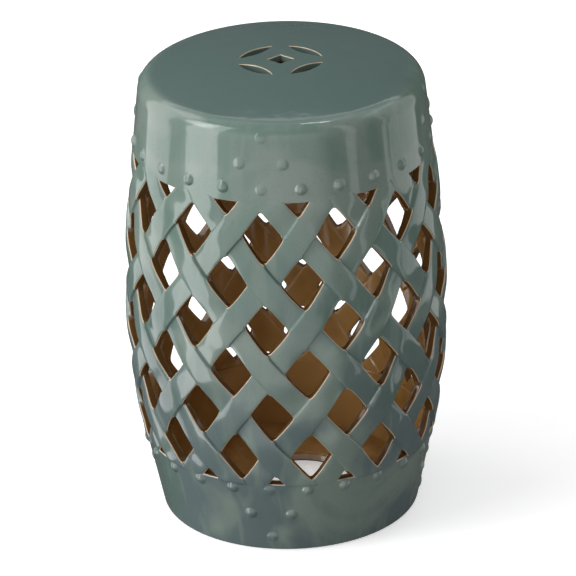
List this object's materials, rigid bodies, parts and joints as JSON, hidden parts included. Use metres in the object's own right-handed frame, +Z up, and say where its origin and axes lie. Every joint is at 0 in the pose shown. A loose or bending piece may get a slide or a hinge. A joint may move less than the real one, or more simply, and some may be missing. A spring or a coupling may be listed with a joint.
{
  "type": "garden stool",
  "caption": "Barrel-shaped glazed ceramic garden stool with a woven lattice wall between two studded bands and a flat top pierced with a coin motif.",
  "frame": {"origin": "middle of the foot, on the ground", "axes": "+Z up the barrel's axis, -Y to the front, +X to the right seen from the front"},
  "size_m": [0.3172, 0.3173, 0.4678],
  "materials": {
    "celadon_glaze": "glossy sage green glaze that breaks to tan on the cut edges, brown inside",
    "brown_glaze": "glossy dark brown inside glaze"
  },
  "bodies": {
    "root": {"foot_band": "celadon_glaze", "floor_plate": "brown_glaze", "shoulder_band": "celadon_glaze", "seat_slab": "celadon_glaze", "strap_right_01": "celadon_glaze", "strap_right_02": "celadon_glaze", "strap_right_03": "celadon_glaze", "strap_right_04": "celadon_glaze", "strap_right_05": "celadon_glaze", "strap_right_06": "celadon_glaze", "strap_right_07": "celadon_glaze", "strap_right_08": "celadon_glaze", "strap_right_09": "celadon_glaze", "strap_right_10": "celadon_glaze", "strap_right_11": "celadon_glaze", "strap_right_12": "celadon_glaze", "strap_right_13": "celadon_glaze", "strap_left_01": "celadon_glaze", "strap_left_02": "celadon_glaze", "strap_left_03": "celadon_glaze", "strap_left_04": "celadon_glaze", "strap_left_05": "celadon_glaze", "strap_left_06": "celadon_glaze", "strap_left_07": "celadon_glaze", "strap_left_08": "celadon_glaze", "strap_left_09": "celadon_glaze", "strap_left_10": "celadon_glaze", "strap_left_11": "celadon_glaze", "strap_left_12": "celadon_glaze", "strap_left_13": "celadon_glaze", "upper_stud_row": "celadon_glaze", "upper_stud_cluster_1": "celadon_glaze", "upper_stud_cluster_2": "celadon_glaze", "upper_stud_cluster_3": "celadon_glaze", "upper_stud_cluster_4": "celadon_glaze", "lower_stud_row": "celadon_glaze", "lower_stud_cluster_1": "celadon_glaze", "lower_stud_cluster_2": "celadon_glaze", "lower_stud_cluster_3": "celadon_glaze", "lower_stud_cluster_4": "celadon_glaze"}
  },
  "joints": []
}
